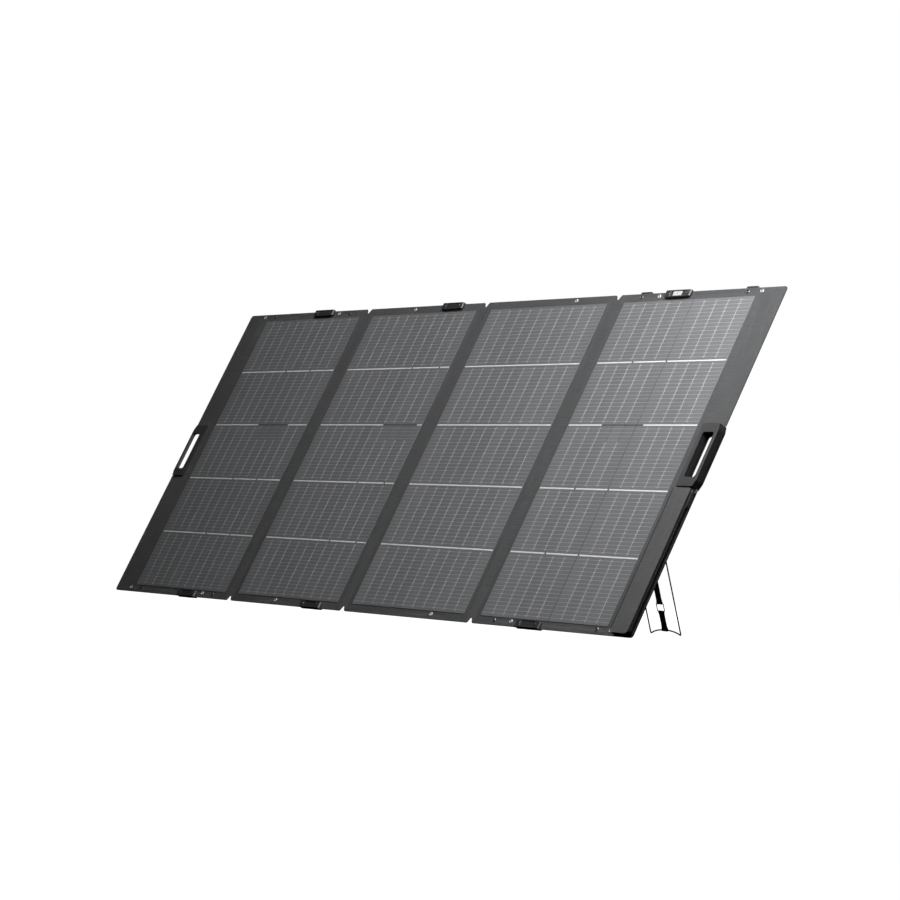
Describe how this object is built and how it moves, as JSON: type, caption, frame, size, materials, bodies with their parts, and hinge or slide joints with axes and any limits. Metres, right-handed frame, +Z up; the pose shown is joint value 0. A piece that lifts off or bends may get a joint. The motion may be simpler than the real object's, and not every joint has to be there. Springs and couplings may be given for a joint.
{
  "type": "folding solar panel",
  "caption": "Portable folding solar panel: fabric-faced cell sections joined by fabric folds, with a carry handle at each end, a zipped cable pocket and fold-out wire legs.",
  "frame": {"origin": "centre of the footprint's bounding box, on the ground", "axes": "+X along the unfolded panel to the right seen from the front, +Y from the front to the legs, +Z up"},
  "size_m": [2.515, 0.4634, 0.8784],
  "materials": {
    "fabric": "woven charcoal polyester",
    "fold_fabric": "woven charcoal polyester, unbacked",
    "cells": "satin polymer film over blue-black cells",
    "dark_plastic": "fine moulded texture",
    "grey_plastic": "fine moulded texture",
    "white_plastic": "satin",
    "pocket_fabric": "woven grey polyester",
    "zip": "moulded nylon",
    "steel_wire": "dark plated",
    "ring_steel": "dark plated",
    "webbing": "ribbed nylon webbing"
  },
  "bodies": {
    "section_1": {"panel_1_board": "fabric", "panel_1_cell_laminate": "cells", "handle_left_front_shell": "dark_plastic", "handle_left_rear_shell": "dark_plastic", "panel_1_bottom_clip_cover": "dark_plastic", "panel_1_bottom_clip_plate": "dark_plastic", "panel_1_top_clip_cover": "dark_plastic", "panel_1_top_clip_plate": "dark_plastic", "panel_1_junction_base": "dark_plastic", "panel_1_junction_lid": "dark_plastic", "leg_left_bracket_a": "dark_plastic", "leg_left_bracket_b": "dark_plastic", "fold_1_fabric": "fold_fabric"},
    "section_2": {"panel_2_board": "fabric", "panel_2_cell_laminate": "cells", "panel_2_bottom_clip_cover": "dark_plastic", "panel_2_bottom_clip_plate": "dark_plastic", "panel_2_top_clip_cover": "dark_plastic", "panel_2_top_clip_plate": "dark_plastic", "panel_2_junction_base": "dark_plastic", "panel_2_junction_lid": "dark_plastic", "fold_2_fabric": "fold_fabric"},
    "section_3": {"panel_3_board": "fabric", "panel_3_cell_laminate": "cells", "fold_3_fabric": "fold_fabric"},
    "section_4": {"panel_4_board": "fabric", "panel_4_cell_laminate": "cells", "handle_right_front_shell": "grey_plastic", "handle_right_rear_shell": "dark_plastic", "panel_4_bottom_clip_cover": "dark_plastic", "panel_4_bottom_clip_plate": "dark_plastic", "panel_4_top_clip_cover": "dark_plastic", "panel_4_top_clip_plate": "dark_plastic", "panel_4_junction_base": "dark_plastic", "panel_4_junction_lid": "dark_plastic", "leg_right_bracket_a": "dark_plastic", "leg_right_bracket_b": "dark_plastic", "sun_target": "white_plastic", "top_anchor_inner": "dark_plastic", "top_anchor_outer": "dark_plastic", "cable_pocket": "pocket_fabric", "zip_chain": "zip"},
    "leg_left": {"leg_left_wire": "steel_wire", "leg_left_strap_lower": "webbing", "leg_left_ring": "steel_wire", "leg_left_strap_upper": "webbing"},
    "leg_right": {"leg_right_wire": "steel_wire", "leg_right_strap_lower": "webbing", "leg_right_ring": "steel_wire", "leg_right_strap_upper": "webbing"},
    "zip_slider": {"zip_slider": "ring_steel"},
    "zip_pull": {"zip_pull": "zip"}
  },
  "joints": [
    {"name": "fold_1", "type": "hinge", "parent": "section_1", "child": "section_2", "pos_m": [-0.5915, -0.00266, 0.44132], "axis": [0, -0.4478, -0.8942], "range_deg": [0, 180], "deforming": ["fold_1_fabric"]},
    {"name": "fold_2", "type": "hinge", "parent": "section_2", "child": "section_3", "pos_m": [0, 0.01254, 0.43371], "axis": [0, 0.4478, 0.8942], "range_deg": [0, 180], "deforming": ["fold_2_fabric"]},
    {"name": "fold_3", "type": "hinge", "parent": "section_3", "child": "section_4", "pos_m": [0.5915, -0.00624, 0.44311], "axis": [0, -0.4478, -0.8942], "range_deg": [0, 180], "deforming": ["fold_3_fabric"]},
    {"name": "leg_left_hinge", "type": "hinge", "parent": "section_1", "child": "leg_left", "pos_m": [-0.928, 0.01455, 0.43773], "axis": [-1, 0, 0], "range_deg": [0, 44]},
    {"name": "leg_right_hinge", "type": "hinge", "parent": "section_4", "child": "leg_right", "pos_m": [0.9255, 0.01455, 0.43773], "axis": [-1, 0, 0], "range_deg": [0, 44]},
    {"name": "zip_slide", "type": "slide", "parent": "section_4", "child": "zip_slider", "axis": [0, -0.4478, -0.8942], "range_m": [0, 0.34]},
    {"name": "zip_pull_hinge", "type": "hinge", "parent": "zip_slider", "child": "zip_pull", "pos_m": [1.2563, -0.04999, 0.35486], "axis": [0, -0.8942, 0.4478], "range_deg": [0, 150]}
  ],
  "couplings": [
    {"joint": "fold_2", "follows": "fold_1", "ratio": 1},
    {"joint": "fold_3", "follows": "fold_1", "ratio": 1}
  ]
}
